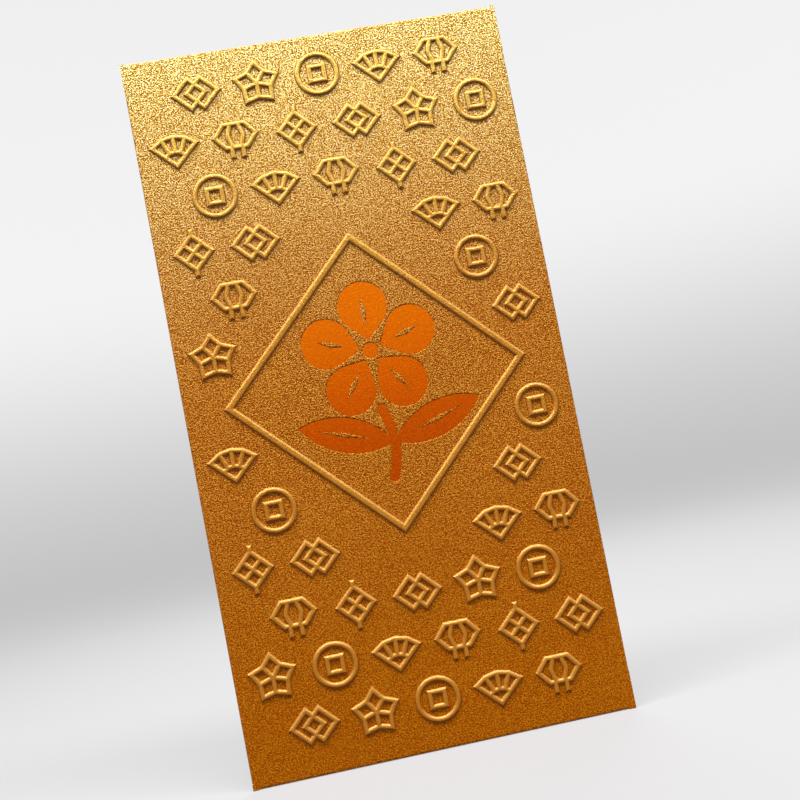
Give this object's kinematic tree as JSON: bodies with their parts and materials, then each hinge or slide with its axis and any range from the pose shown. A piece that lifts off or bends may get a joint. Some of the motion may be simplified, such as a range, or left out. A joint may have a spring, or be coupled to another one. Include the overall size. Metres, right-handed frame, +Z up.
{
  "type": "gift money packet",
  "caption": "Tall flat gift-money packet of embossed gold paper: folded and glued pocket, foil emblem on the front, and a top flap that turns about its crease to open the mouth.",
  "frame": {"origin": "middle of the packet's lowest edge, halfway through its thickness", "axes": "+Z up the packet towards the flap crease, +X to the right seen from the front, the embossed front faces -Y"},
  "size_m": [0.09, 0.0022, 0.17],
  "materials": {
    "gold_pearl_paper": "gold pearl paper with a sandy grain, embossed",
    "orange_foil": "orange metallic hot-stamping foil",
    "paper_glue": "dried white paper glue"
  },
  "bodies": {
    "packet": {"front_panel": "gold_pearl_paper", "spine_fold": "gold_pearl_paper", "back_panel": "gold_pearl_paper", "side_tab_fold": "gold_pearl_paper", "side_glue_tab": "gold_pearl_paper", "bottom_fold": "gold_pearl_paper", "bottom_glue_tab": "gold_pearl_paper", "flap_crease": "gold_pearl_paper", "side_glue_line": "paper_glue", "bottom_glue_line": "paper_glue", "foil_emblem": "orange_foil"},
    "flap": {"top_flap": "gold_pearl_paper"}
  },
  "joints": [
    {"name": "flap_hinge", "type": "hinge", "parent": "packet", "child": "flap", "pos_m": [0, 0.00022, 0.16917], "axis": [1, 0, 0], "range_deg": [0, 180], "deforming": ["flap_crease"]}
  ]
}
